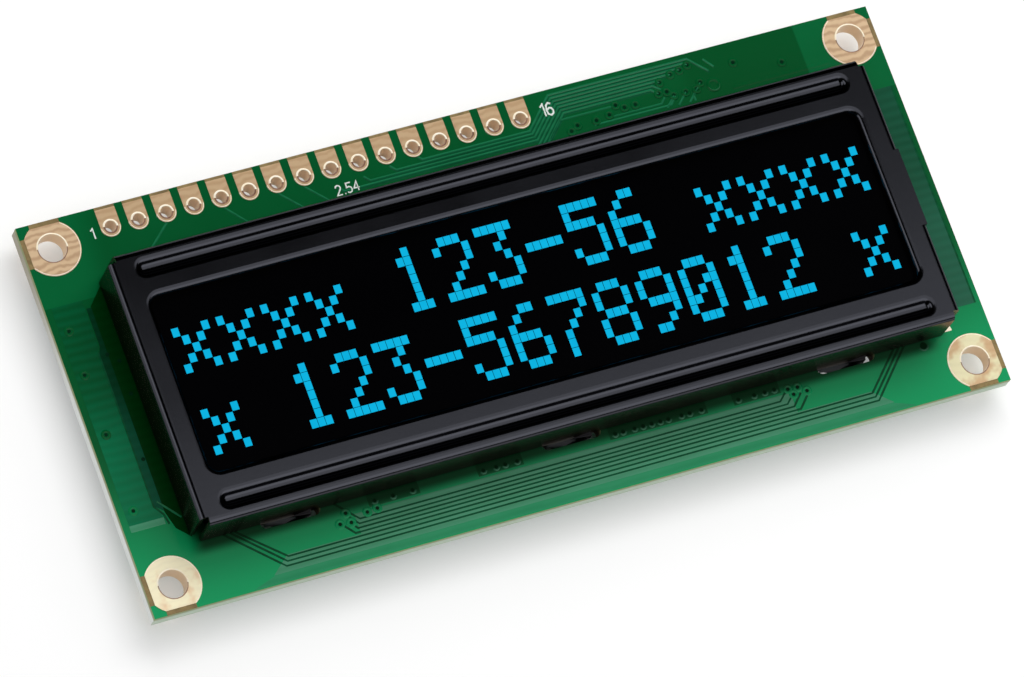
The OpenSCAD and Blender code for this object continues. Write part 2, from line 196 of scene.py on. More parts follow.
def add_sides(mesh, low, high):
    """Joins two outlines of as many points by upright faces."""
    for i in range(len(low)):
        j = (i + 1) % len(low)
        mesh.faces.new((low[i], low[j], high[j], high[i]))


def add_area(mesh, points, base, rise):
    """Adds a thin area with upright sides, from its outline in millimetres."""
    low = [mesh.verts.new((x * MM, y * MM, base)) for x, y in points]
    high = [mesh.verts.new((x * MM, y * MM, base + rise)) for x, y in points]
    mesh.faces.new(high)
    add_sides(mesh, low, high)


def ring_points(centre, radius, height, angles):
    """Gives points on a level circle at the given angles."""
    return [(centre[0] + radius * math.cos(a), centre[1] + radius * math.sin(a), height) for a in angles]


def add_lathe(mesh, centre, profile, count=32, start=0.0, sweep=math.tau):
    """Turns a profile of (radius, height) about an upright axis through the centre, all round or in part."""
    corners = count if sweep >= math.tau else count + 1
    angles = [start + sweep * i / count for i in range(corners)]
    rings = [[mesh.verts.new(p) for p in ring_points(centre, *spot, angles)] for spot in profile]
    for low, high in zip(rings, rings[1:]):
        for i in range(count):
            j = (i + 1) % corners
            mesh.faces.new((low[i], low[j], high[j], high[i])).smooth = True


def add_disc(mesh, centre, radius, height, count=20, start=0.0, sweep=math.tau):
    """Adds a round flat face, or the part of it that a chord cuts off."""
    corners = count if sweep >= math.tau else count + 1
    angles = [start + sweep * i / count for i in range(corners)]
    mesh.faces.new([mesh.verts.new(p) for p in ring_points(centre, radius, height, angles)])


def add_plate(mesh, low, high, draft=0.0):
    """Adds a thin plate whose upper edges are drawn in by the draft."""
    x0, y0, z0 = low
    x1, y1, z1 = high
    lower = [mesh.verts.new(p) for p in ((x0, y0, z0), (x1, y0, z0), (x1, y1, z0), (x0, y1, z0))]
    corners = (
        (x0 + draft, y0 + draft, z1), (x1 - draft, y0 + draft, z1),
        (x1 - draft, y1 - draft, z1), (x0 + draft, y1 - draft, z1),
    )
    upper = [mesh.verts.new(p) for p in corners]
    mesh.faces.new(lower)
    mesh.faces.new(upper)
    add_sides(mesh, lower, upper)


# Materials

# Glass yarns of the laminate lie this far apart, in millimetres
YARN = 0.84


def foot_shade(tree, place, colour, look):
    """Paints shade into a mask's colour along the foot of the bezel's front wall."""
    x, y = add_node(tree, *SPLIT, {0: place}).outputs[:2]
    near = add_node(tree, *EASE, {"Value": y, "From Min": -14.1 * MM, "From Max": -13 * MM, "To Max": 0.88})
    front = add_node(tree, *UNDER, {0: y, 1: 0.0})
    near = add_node(tree, *TIMES, {0: near, 1: front})
    aside = add_node(tree, "Math", {"operation": "ABSOLUTE"}, {0: x})
    along = add_node(tree, *EASE, {"Value": aside, "From Min": 35.4 * MM, "From Max": 33.6 * MM})
    near = add_node(tree, *TIMES, {0: near, 1: along})
    return add_node(tree, *MIX, {0: near, 6: colour, 7: rgba(look.foot_shade_colour)})


def mask_green(tree, place, x, y, look):
    """Gives the tone of the board's mask, from the copper below it and from painted light and shade."""
    # Lighter towards the front: partly the copper pour under the front half, partly painted light
    pour = add_node(tree, *EASE, {"Value": y, "From Min": -2 * MM, "From Max": -17.5 * MM})
    cloud = add_node(tree, *NOISE, {"Vector": place, "Scale": per_mm(7), "Detail": 3.0, "Roughness": 0.55})
    tone = add_node(tree, *TIMES_ADD, {0: cloud, 1: 0.12, 2: pour})
    # Copper also lies under the mask in the corner beside the last mounting hole, and none does left of it
    corner = add_node(
        tree, *EASE,
        {"Value": x, "From Min": 32.6 * MM, "From Max": 32.9 * MM, "To Min": -0.13, "To Max": 0.12},
    )
    span = add_node(tree, *EASE, {"Value": x, "From Min": 20 * MM, "From Max": 25 * MM})
    above = add_node(tree, *OVER, {0: y, 1: 10.4 * MM})
    span = add_node(tree, *TIMES, {0: span, 1: above})
    tone = add_node(tree, *TIMES_ADD, {0: corner, 1: span, 2: tone})
    # It lies under the corner beside the first mounting hole as well
    west = add_node(tree, *EASE, {"Value": x, "From Min": -32.5 * MM, "From Max": -36 * MM, "To Max": 0.13})
    tone = add_node(tree, *TIMES_ADD, {0: west, 1: above, 2: tone})
    green = add_node(tree, *MIX, {0: tone, 6: rgba(look.mask_deep), 7: rgba(look.mask_light)})
    return foot_shade(tree, place, green, look)


def sawn_edge(tree, place, x, y, z, look):
    """Gives the colour of the board's cut sides."""
    # Laminate layers of about 0.2 mm show as streaks on the sawn edge
    layers = add_node(tree, "Mapping", None, {"Vector": place, "Scale": (per_mm(4), per_mm(4), per_mm(0.2))})
    streak = add_node(tree, *NOISE, {"Vector": layers, "Scale": 1.0, "Detail": 4.0})
    straw = add_node(tree, *MIX, {0: streak, 6: rgba(look.edge_dark), 7: rgba(look.edge_light)})
    # Cut walls more than 1 mm inside the board's edges, as in the slots, are dark brown
    inset = BOARD_HIGH - Vector((1, 1, 0)) * MM
    within = add_node(tree, *NEAR, {0: y, 1: 0.0, 2: inset.y})
    inside = add_node(tree, *NEAR, {0: x, 1: 0.0, 2: inset.x})
    cut = add_node(tree, *TIMES, {0: within, 1: inside})
    straw = add_node(tree, *MIX, {0: cut, 6: straw, 7: rgba(look.slot_wall)})
    # Painted shade: the front edge is a little darker
    fore = add_node(tree, *UNDER, {0: y, 1: BOARD_LOW.y + 0.05 * MM})
    straw = add_node(tree, *TINT, {0: fore, 6: straw, 7: rgba(look.edge_front)})
    # The rear end of the left edge is stained
    stain = add_node(tree, *EASE, {"Value": y, "From Min": 0.0, "From Max": 17 * MM, "To Max": 0.75})
    straw = add_node(tree, *MIX, {0: stain, 6: straw, 7: rgba(look.edge_stain)})
    # The mask runs a little way down the sawn edge
    top = BOARD_HIGH.z
    height = add_node(tree, *EASE, {"Value": z, "From Min": top - 0.7 * MM, "From Max": top - 0.25 * MM})
    return add_node(tree, *MIX, {0: height, 6: straw, 7: rgba(look.edge_rim)})


def solder_mask_material(look):
    """Solder mask on woven glass laminate: glossy green faces with a faint weave, straw-coloured edges."""
    material, tree, place = new_material("Solder mask on glass laminate")
    normal = add_node(tree, "NewGeometry").outputs["Normal"]
    facing = add_node(tree, *SPLIT, {0: normal}).outputs["Z"]
    flat = add_node(tree, "Math", {"operation": "ABSOLUTE"}, {0: facing})
    face = add_node(tree, *OVER, {0: flat, 1: 0.5})
    x, y, z = add_node(tree, *SPLIT, {0: place}).outputs
    # Mask that laps over a land is green all round
    proud = add_node(tree, *OVER, {0: z, 1: BOARD_HIGH.z + 0.001 * MM})
    face = add_node(tree, "Math", {"operation": "MAXIMUM"}, {0: face, 1: proud})
    green = mask_green(tree, place, x, y, look)
    straw = sawn_edge(tree, place, x, y, z, look)
    colour = add_node(tree, *MIX, {0: face, 6: straw, 7: green})
    # The yarns cross and lift the mask a little
    warp = add_node(
        tree, *BANDS, {"Vector": place, "Scale": per_mm(YARN) * WAVE, "Distortion": 1.5, "Detail": 1.0}
    ).outputs["Fac"]
    weft = add_node(
        tree, "TexWave", {"bands_direction": "X"},
        {"Vector": place, "Scale": per_mm(1.1) * WAVE, "Distortion": 2.0, "Detail": 1.0},
    ).outputs["Fac"]
    weave = add_node(tree, *TIMES_ADD, {0: weft, 1: 0.35, 2: warp})
    bump = add_node(tree, *BUMP, {"Height": weave, "Strength": 0.06, "Distance": 0.01 * MM})
    gloss = add_node(tree, *RANGE, {"Value": face, "To Min": 0.8, "To Max": look.mask_roughness})
    shader = add_node(
        tree, *SURFACE,
        {"Base Color": colour, "Roughness": gloss, "Normal": bump, "IOR": 1.5, "Specular IOR Level": 0.13},
    )
    return close_material(material, shader)


def copper_mask_material(name, first, second, look, gloss=0.28, weave=0.45, painted_front_light=0.0):
    """Solder mask over copper: paler or deeper than the board, with soft ripples from the weave below."""
    material, tree, place = new_material(name)
    cloud = add_node(tree, *NOISE, {"Vector": place, "Scale": per_mm(5), "Detail": 3.0})
    # Ripples follow the glass yarns
    ripple = add_node(
        tree, *BANDS, {"Vector": place, "Scale": per_mm(YARN) * WAVE, "Distortion": 2.5, "Detail Scale": 0.6}
    ).outputs["Fac"]
    if painted_front_light:
        # Painted light: the tone rises from the rear half to the front half
        depth = add_node(tree, *SPLIT, {0: place}).outputs["Y"]
        rise = add_node(
            tree, *EASE, {"Value": depth, "From Min": 3 * MM, "From Max": -3 * MM, "To Max": painted_front_light}
        )
        cloud = add_node(tree, *TIMES_ADD, {0: cloud, 1: 0.2, 2: rise})
    tone = add_node(tree, *TIMES_ADD, {0: ripple, 1: weave, 2: cloud})
    colour = add_node(tree, *MIX, {0: tone, 6: rgba(first), 7: rgba(second)})
    colour = foot_shade(tree, place, colour, look)
    bump = add_node(tree, *BUMP, {"Height": ripple, "Strength": 0.1, "Distance": 0.012 * MM})
    shader = add_node(
        tree, *SURFACE,
        {
            "Base Color": colour, "Roughness": look.mask_roughness, "Normal": bump, "IOR": 1.5,
            "Specular IOR Level": gloss,
        },
    )
    return close_material(material, shader)


def gold_material(name, dark, light, look):
    """Thin gold over nickel on copper: satin and pale, with wavy streaks left by brushing."""
    material, tree, place = new_material(name)
    # Streaks lie about 0.65 mm apart and wander
    streak = add_node(
        tree, *BANDS, {"Vector": place, "Scale": per_mm(0.65) * WAVE, "Distortion": 7.0, "Detail": 3.0}
    ).outputs["Fac"]
    sharp = add_node(tree, *EASE, {"Value": streak, "From Min": -0.2, "From Max": 0.9})
    colour = add_node(tree, *MIX, {0: sharp, 6: rgba(dark), 7: rgba(light)})
    # The lands at the front are cleaner: paler, with a few warm blotches
    x, y = add_node(tree, *SPLIT, {0: place}).outputs[:2]
    front = add_node(tree, *EASE, {"Value": y, "From Min": 5 * MM, "From Max": -12 * MM, "To Max": 0.85})
    blotch = add_node(tree, *NOISE, {"Vector": place, "Scale": per_mm(2.4), "Detail": 3.0})
    blotch = add_node(tree, *EASE, {"Value": blotch, "From Min": 0.36, "From Max": 0.54})
    # Painted shade: the right-hand land is dimmed against the stronger light on its side, with darker
    # blotches
    side = add_node(tree, *RANGE, {"Value": x, "From Min": -30 * MM, "From Max": 30 * MM})
    warm = add_node(tree, *MIX, {0: side, 6: rgba(look.gold_warm), 7: rgba(look.gold_tan)})
    clean = add_node(tree, *MIX, {0: blotch, 6: warm, 7: rgba(look.gold_clean)})
    clean = add_node(tree, *TINT, {0: side, 6: clean, 7: rgba(look.gold_right_shade)})
    colour = add_node(tree, *MIX, {0: front, 6: colour, 7: clean})
    # Painted light: plating inside the holes is painted bright, and it is less metallic
    normal = add_node(tree, "NewGeometry").outputs["True Normal"]
    facing = add_node(tree, *SPLIT, {0: normal}).outputs["Z"]
    wall = add_node(tree, *NEAR, {0: facing, 1: 0.0, 2: 0.3})
    colour = add_node(tree, *MIX, {0: wall, 6: colour, 7: rgba(look.gold_barrel)})
    front = add_node(tree, "Math", {"operation": "MAXIMUM"}, {0: front, 1: wall})
    bump = add_node(tree, *BUMP, {"Height": streak, "Strength": 0.07, "Distance": 0.02 * MM})
    mirror = add_node(tree, *RANGE, {"Value": front, "To Min": 0.4, "To Max": 0.05})
    shader = add_node(
        tree, *SURFACE, {"Base Color": colour, "Metallic": mirror, "Roughness": 0.3, "Normal": bump}
    )
    return close_material(material, shader)


def speckled_material(name, first, second, grain, roughness, metallic=0.0, bump_height=0.0):
    """A surface whose tone and height wander with a grain of the given size in millimetres."""
    material, tree, place = new_material(name)
    noise = add_node(tree, *NOISE, {"Vector": place, "Scale": per_mm(grain), "Detail": 4.0, "Roughness": 0.6})
    spread = add_node(tree, *EASE, {"Value": noise, "From Min": 0.3, "From Max": 0.7})
    colour = add_node(tree, *MIX, {0: spread, 6: rgba(first), 7: rgba(second)})
    bump = add_node(tree, *BUMP, {"Height": noise, "Strength": 0.5, "Distance": bump_height * MM})
    inputs = {"Base Color": colour, "Metallic": metallic, "Roughness": roughness, "Normal": bump}
    if not metallic:
        inputs["IOR"] = 1.5
    return close_material(material, add_node(tree, *SURFACE, inputs))


def black_coat_material(look):
    """Black oxide on stamped steel: dark and satin, with soft edges to its highlights and a faint peel."""
    material, tree, place = new_material("Black oxide on stamped steel")
    peel = add_node(tree, *NOISE, {"Vector": place, "Scale": per_mm(0.5), "Detail": 2.0})
    cloud = add_node(tree, *NOISE, {"Vector": place, "Scale": per_mm(9), "Detail": 3.0})
    colour = add_node(tree, *MIX, {0: cloud, 6: rgba(look.coat_dark), 7: rgba(look.coat_light)})
    # Bending thins the oxide on the walls, so they mirror more of the board
    normal = add_node(tree, "NewGeometry").outputs["True Normal"]
    facing = add_node(tree, *SPLIT, {0: normal}).outputs["Z"]
    wall = add_node(tree, *NEAR, {0: facing, 1: 0.0, 2: 0.2})
    height = add_node(tree, *SPLIT, {0: place}).outputs["Z"]
    above = add_node(tree, *OVER, {0: height, 1: BOARD_HIGH.z})
    wall = add_node(tree, *TIMES, {0: wall, 1: above})
    colour = add_node(tree, *MIX, {0: wall, 6: colour, 7: rgba(look.coat_wall)})
    gloss = add_node(
        tree, *RANGE,
        {
            "Value": cloud, "From Min": 0.3, "From Max": 0.7,
            "To Min": look.coat_roughness - 0.03, "To Max": look.coat_roughness + 0.03,
        },
    )
    bump = add_node(tree, *BUMP, {"Height": peel, "Strength": 0.05, "Distance": 0.02 * MM})
    # The oxide takes up light that grazes it, so its edges stay dark
    shader = add_node(
        tree, *SURFACE,
        {
            "Base Color": colour, "Metallic": 1.0, "Roughness": gloss, "Normal": bump,
            "Specular Tint": rgba(look.coat_edge),
        },
    )
    return close_material(material, shader)


def film_material(look):
    """Polarising film: smooth, almost black, with little gloss."""
    material, tree, place = new_material("Dark polarising film")
    cloud = add_node(tree, *NOISE, {"Vector": place, "Scale": per_mm(15), "Detail": 2.0})
    colour = add_node(tree, *MIX, {0: cloud, 6: rgba(look.film_dark), 7: rgba(look.film_light)})
    shader = add_node(tree, *SURFACE, {"Base Color": colour, "Roughness": 0.3, "Specular IOR Level": 0.012})
    return close_material(material, shader)


def lit_material(look):
    """Organic emitter: even light-blue light with a slight flicker of tone from dot to dot."""
    material, tree, place = new_material("Lit organic emitter")
    cloud = add_node(tree, *NOISE, {"Vector": place, "Scale": per_mm(1.5), "Detail": 1.0})
    colour = add_node(tree, *MIX, {0: cloud, 6: rgba(look.lit_deep), 7: rgba(look.lit_pale)})
    shader = add_node(
        tree, *SURFACE,
        {
            "Base Color": rgba("#000000"), "Roughness": 0.5, "Specular IOR Level": 0.0,
            "Emission Color": colour, "Emission Strength": look.lit_strength,
        },
    )
    return close_material(material, shader)


def glass_material():
    """Thin display glass: clear with a green cast."""
    material, tree, place = new_material("Display glass")
    cloud = add_node(tree, *NOISE, {"Vector": place, "Scale": per_mm(20)})
    tint = add_node(tree, *MIX, {0: cloud, 6: rgba("#C9DCD6"), 7: rgba("#D6E4E0")})
    shader = add_node(
        tree, *SURFACE, {"Base Color": tint, "Roughness": 0.02, "IOR": 1.52, "Transmission Weight": 1.0}
    )
    return close_material(material, shader)


# Settings


def colour_setting(name, description, value):
    """Gives a colour that a user can change, from its hex value."""
    return bpy.props.FloatVectorProperty(
        name=name, description=description, subtype="COLOR", default=linear(value)
    )


def length_setting(name, description, size):
    """Gives a length that a user can change, from its size in millimetres."""
    return bpy.props.FloatProperty(name=name, description=description, default=size * MM, unit="LENGTH")


class BoardLook(bpy.types.PropertyGroup):
    """Colours and widths on the circuit board."""

    # Deep and light mask are the ends of a tone that grows to the front: partly copper pour, partly painted
    # light
    mask_deep: colour_setting("Deep mask", "Mask over bare laminate", "#004A21")
    mask_light: colour_setting("Light mask", "Mask over the copper pour", "#0B9057")
    # Painted shade along the foot of the bezel's front wall blends towards this colour
    foot_shade_colour: colour_setting("Mask at the wall", "Mask along the foot of the bezel's front wall", "#001C08")
    mask_roughness: bpy.props.FloatProperty(
        name="Mask roughness", description="Roughness of the solder mask", subtype="FACTOR",
        default=0.19, min=0, max=1,
    )
    edge_dark: colour_setting("Dark edge", "Resin on the sawn edge", "#D0D5CF")
    edge_light: colour_setting("Light edge", "Glass on the sawn edge", "#FBFCFC")
    edge_front: colour_setting("Front edge", "What the front edge keeps of its light", "#D6E3D2")
    slot_wall: colour_setting("Slot wall", "Laminate in the cut slots", "#5A4E38")
    edge_stain: colour_setting("Edge stain", "Stain on the rear of the edge", "#8C8062")
    edge_rim: colour_setting("Edge rim", "Mask that runs down the edge", "#929A72")
    gold_dark: colour_setting("Dark gold", "Streaks in the plating", "#CCA682")
    gold_light: colour_setting("Light gold", "The plating itself", "#EACAA2")
    pad_dark: colour_setting("Dark pad", "Streaks in the header lands", "#CCA880")
    pad_light: colour_setting("Light pad", "Plating of the header lands", "#D8B890")
    gold_warm: colour_setting("Warm gold", "Blotches in clean plating", "#E4BE94")
    # Painted light: the bright colour of the plating inside the holes
    gold_barrel: colour_setting("Barrel gold", "Plating inside the holes", "#F0D6B4")
    gold_tan: colour_setting("Tan gold", "Darker blotches on the land at the front right", "#D8B088")
    # Painted shade: this colour dims the land at the front right
    gold_right_shade: colour_setting("Shaded gold", "Painted shade that dims the land at the front right", "#E8EADF")
    gold_clean: colour_setting("Clean gold", "Clean plating", "#F8F2CE")
    gap_width: length_setting("Gap width", "Width of the etched gaps", 0.2)
    track_width: length_setting("Track width", "Width of the single tracks", 0.2)
    ink: colour_setting("Ink", "Printed numbers", "#E9EFEA")
    ink_width: length_setting("Ink stroke", "Width of a printed stroke", 0.14)


class FrontLook(bpy.types.PropertyGroup):
    """Finish of the bezel and of the display."""

    coat_dark: colour_setting("Dark coat", "Black oxide", "#3A3B40")
    coat_light: colour_setting("Light coat", "Black oxide where it is thin", "#3E3F45")
    coat_wall: colour_setting("Wall coat", "Black oxide on the bent walls", "#94897F")
    coat_edge: bpy.props.FloatVectorProperty(
        name="Coat edge", description="Share of grazing light it keeps", subtype="COLOR",
        default=(0.5, 0.5, 0.5),
    )
    coat_roughness: bpy.props.FloatProperty(
        name="Coat roughness", description="Roughness of the oxide", subtype="FACTOR",
        default=0.19, min=0, max=1,
    )
    film_dark: colour_setting("Dark film", "The film", "#000001")
    film_light: colour_setting("Light film", "The film where it is paler", "#020203")
    lit_deep: colour_setting("Deep light", "Lit dots", "#0AABDA")
    lit_pale: colour_setting("Pale light", "Brighter lit dots", "#12BBE8")
    lit_strength: bpy.props.FloatProperty(
        name="Light strength", description="Strength of the lit dots", default=1.0, min=0
    )
    dot_pitch_x: length_setting("Dot pitch X", "From dot to dot across", 0.674)
    dot_pitch_y: length_setting("Dot pitch Y", "From dot to dot down", 0.833)
    dot_gap: length_setting("Dot gap", "Dark line between dots", 0.045)
    first_line: bpy.props.StringProperty(
        name="First line", description="Figures, dashes and crosses in the upper line",
        default="xxxx 123-56 xxxx",
    )
    second_line: bpy.props.StringProperty(
        name="Second line", description="Figures, dashes and crosses in the lower line",
        default="x 123-56789012 x",
    )


class StageLook(bpy.types.PropertyGroup):
    """Floor, lamps and camera."""

    floor_colour: colour_setting("Floor", "Colour of the floor", "#FAFAFA")
    key_level: bpy.props.FloatProperty(
        name="Key level", description="Brightness of the lamp behind the module", default=4.2, min=0
    )
    room_level: bpy.props.FloatProperty(
        name="Room level", description="Brightness of the room all round", default=0.64, min=0
    )
    box_level: bpy.props.FloatProperty(
        name="Box level", description="Brightness of the soft boxes that show in gloss", default=1.8, min=0
    )
    lens: bpy.props.FloatProperty(
        name="Lens", description="Focal length on a 36 mm sensor, in millimetres", unit="CAMERA",
        default=291.43, min=1,
    )
    camera_place: bpy.props.FloatVectorProperty(
        name="Camera place", description="Fitted to the board's corners and holes", subtype="TRANSLATION",
        unit="LENGTH", default=(-0.235351, -0.181038, 0.645688),
    )
    camera_turn: bpy.props.FloatVectorProperty(
        name="Camera turn", description="Fitted with its place", subtype="EULER", unit="ROTATION",
        default=(0.359453, -0.239434, -0.355927),
    )


# Board pieces

# Each path is a list of X and Y in millimetres on the face of the board
OUTER_GAPS = [
    [(-31.0, -12.45), (-27.14, -15.85), (27.5, -15.85), (30.9, -12.45)],
    [(-31.4, -12.45), (-27.35, -16.24), (27.66, -16.24), (31.4, -12.45)],
    [(-32.0, -12.45), (-27.57, -16.63), (27.83, -16.63), (31.9, -12.45)],
]
INNER_GAPS = [
    [(-21.9, -12.45), (-20.05, -14.38), (19.25, -14.38), (20.2, -13.5)],
    [(-21.0, -13.9), (-20.25, -14.77), (19.8, -14.77), (20.6, -14.0)],
    [(-21.0, -14.5), (-20.5, -15.13), (20.3, -15.13), (21.3, -14.1)],
    [(-21.8, -14.4), (-20.85, -15.49), (20.8, -15.49), (22.2, -14.05)],
]
SIDE_GAPS = [
    [(-36.8, 5.6), (-36.8, -8.65), (-36.2, -9.45), (-36.0, -10.4)],
    [(39.5, 10.4), (39.5, -10.5)],
]
# Paths of two bands over copper, with their widths
FRONT_BANDS = [
    ([(-20.4, -14.78), (20.4, -14.78)], 1.86),
    ([(-39.4, -10.0), (-36.3, -10.0)], 0.6),
]
OUTER_BAND = [(-28.9, -17.14), (29.1, -17.14), (27.4, -15.69), (-27.2, -15.69)]
MARGIN_BAND = [(-31.0, -17.9), (31.0, -17.9), (28.9, -17.14), (-28.7, -17.14)]
# Areas of mask: piece, outline, rise; its mask's name, two tones, gloss, ripple and painted front light
AREAS = [
    # Deep green at the rear, painted brighter towards the front
    (
        "left_pour",
        [
            (-39.4, -9.7), (-36.35, -9.7), (-36.35, -9.4), (-36.86, -8.7), (-36.86, 5.6), (-36.6, 6.15),
            (-36.6, 10.4), (-39.4, 10.4),
        ],
        POUR_RISE, ("Solder mask over a rippled pour", "#00441E", "#00764E"), (0.13, 0.13, 0.45),
    ),
    # Almost black: a painted shadow of the bezel's left wall, over mask with no copper below it
    (
        "bare_shadow_area", [(-36.05, -9.3), (-35.6, -10.9), (-34.5, -12.0), (-34.5, 11.4), (-36.05, 9.7)],
        0.004 * MM, ("Solder mask on bare laminate", "#002806", "#00300C"), (0.05, 0.45, 0.0),
    ),
    # A dark strip, partly a painted penumbra of the bezel's shadow, painted blue-green towards the front
    (
        "inner_pour",
        [(-36.74, -8.6), (-36.05, -9.2), (-36.05, 9.6), (-36.5, 9.6), (-36.5, 6.1), (-36.74, 5.5)],
        POUR_RISE, ("Solder mask beside a pour", "#002E14", "#085038"), (0.08, 0.1, 0.6),
    ),
    # Glossier than the rest, with a painted grey sheen towards the front
    (
        "right_pour", [(36.2, -10.5), (39.55, -10.5), (39.55, 10.4), (36.2, 10.4)],
        POUR_RISE, ("Solder mask over a side pour", "#04422A", "#1C624A"), (0.24, 0.16, 0.35),
    ),
]
SINGLE_TRACKS = [
    [(-27.1, 15.2), (-30.2, 12.4)],
    [(-22.0, 15.2), (-19.5, 12.4)],
    [(-17.0, 15.2), (-14.3, 12.4)],
    [(-14.5, 15.1), (-11.9, 12.4)],
    [(-36.4, -8.25), (-34.8, -10.1)],
    [(8.0, 13.6), (9.4, 15.03), (14.4, 15.03)],
    [(13.6, 14.12), (18.8, 14.12), (19.3, 14.6)],
    [(12.3, 13.8), (19.6, 13.8), (20.3, 14.5)],
    [(23.85, 17.1), (24.6, 16.2)],
    [(20.15, 14.57), (19.2, 13.62)],
    [(21.3, 14.6), (20.3, 13.6)],
    [(22.35, 14.6), (21.35, 13.6)],
    [(22.87, 15.1), (21.9, 14.1), (21.9, 13.6)],
]
FAINT_TRACKS = [
    [(24.9, 12.7), (34.4, 12.7)], [(25.3, 13.3), (34.6, 13.3)], [(25.6, 13.9), (34.8, 13.9)],
]
FRONT_VIAS = [
    (-21.9, -14.4), (-20.9, -14.5), (-21.1, -13.6), (-19.25, -14.0), (-18.3, -13.9), (20.64, -14.07),
    (21.9, -14.07), (20.3, -13.5), (21.2, -13.55), (20.5, 16.48), (21.45, 16.67), (22.3, 16.95),
    (19.3, 16.03), (18.87, 15.07), (19.65, 15.05), (20.15, 14.57), (21.3, 14.6), (22.35, 14.6),
    (22.87, 15.1), (26.4, 16.1), (30.7, 15.0), (14.75, 15.05), (15.45, 14.65), (16.5, 14.65),
    (13.9, 14.35), (12.6, 14.15), (10.8, 14.15), (10.1, 13.78), (-38.6, 8.05), (-38.6, 4.0),
    (-38.6, -1.5), (-38.6, -8.5),
]
SUNK_VIAS = [(-35.3, 1.4), (-35.3, 4.45), (-36.1, 5.25), (-36.25, -4.4)]
# One wide via stands at the front right, and one with a ring at the rear
WIDE_VIA = Vector((33.5, -13.0)) * MM
RING_VIA = Vector((24.0, 14.6)) * MM
# Small vias stand in a row at the front, in patches that reach from one X to the next
FRONT_BUMPS = [
    -18.3, -16.6, -14.8, -8.25, -7.06, -6.22, -5.11, 4.06, 4.81, 5.89, 6.69, 7.5, 8.31, 9.06, 10.31, 11.08,
    12.19, 15.7, 17.2, 18.2, 19.1,
]
FRONT_BUMP_Y = -13.2
FRONT_PATCHES = [(-18.9, -14.2), (-8.8, -4.6), (3.5, 12.7), (15.2, 19.6)]
FRONT_PATCH_Y = -13.14


def fan_tracks():
    """Gives the seven tracks that leave the header lands, climb beside the last one and end at vias."""
    ends = [
        [(22.45, 17.5), (24.0, 15.95)], [(22.0, 17.18), (22.3, 16.95)], [(21.1, 16.86), (21.45, 16.67)],
        [(20.2, 16.54), (20.5, 16.48)], [(19.0, 16.22), (19.3, 16.03)], [(18.6, 15.9), (19.2, 15.4)],
        [(18.3, 15.58), (18.87, 15.07)],
    ]
    tracks = []
    climb = 2.72
    for i, end in enumerate(ends):
        low = 14.78 - 0.32 * i
        start = -3.6 - PIN_PITCH / MM * i
        turn = 6.5 + 0.13 * i
        path = [(start - 0.5, low + 0.5), (start, low), (turn, low), (turn + climb, low + climb)]
        # The last three show only where they climb
        if i > 3:
            path = [(turn - 0.8, low - 0.8), (turn + climb, low + climb)]
        tracks.append(path + end)
    return tracks


class OLED_OT_board(bpy.types.Operator):
    """Finishes the board and lays bare strips between the lands and its edges"""

    bl_idname = "oled.board"
    bl_label = "Board"

    def execute(self, context):
        paint_nodes(solder_mask_material(context.scene.oled_board), "circuit_board")
        # Dull brown between the lands and the edge
        bare = speckled_material("Bare laminate", "#6C5A34", "#8C7646", 0.8, 0.6, bump_height=0.01)
        mesh = bmesh.new()
        base = BOARD_HIGH.z
        top = base + 0.01 * MM
        half = PAD_RADIUS * MM
        for i in range(PIN_COUNT):
            x = PIN_FIRST.x + i * PIN_PITCH
            add_plate(mesh, (x - half, PIN_LAND_END, base), (x + half, BOARD_HIGH.y, top))
        # Half the length of a land's straight side
        flat = 1.35 * MM
        for hole in HOLE_SPOTS:
            side_x = math.copysign(1, hole.x)
            side_y = math.copysign(1, hole.y)
            xs = sorted((side_x * (BOARD_HIGH.x - BARE_EDGE), side_x * BOARD_HIGH.x))
            ys = sorted((side_y * (BOARD_HIGH.y - BARE_EDGE), side_y * BOARD_HIGH.y))
            add_plate(mesh, (xs[0], hole.y - flat, base), (xs[1], hole.y + flat, top))
            add_plate(mesh, (hole.x - flat, ys[0], base), (hole.x + flat, ys[1], top))
        add_piece("bare_strips", mesh, bare)
        return {"FINISHED"}


def lap_mesh():
    """Lays mask over the lower half of the bare land by the bezel's corner."""
    mesh = bmesh.new()
    node = NODES["earth_land"]
    land = [node.matrix_world @ Vector(corner) for corner in node.bound_box]
    middle = sum(land, Vector()) / len(land)
    radius = max(corner.x for corner in land) - middle.x + 0.02 * MM
    start = math.asin(1 - 0.66 * MM / radius)
    arc = (24, math.pi + start, math.pi - 2 * start)
    level = BOARD_HIGH.z + PLATE + 0.012 * MM
    add_disc(mesh, middle, radius, level, *arc)
    add_lathe(mesh, middle, [(radius, level), (radius + 0.3 * MM, BOARD_HIGH.z)], *arc)
    return mesh


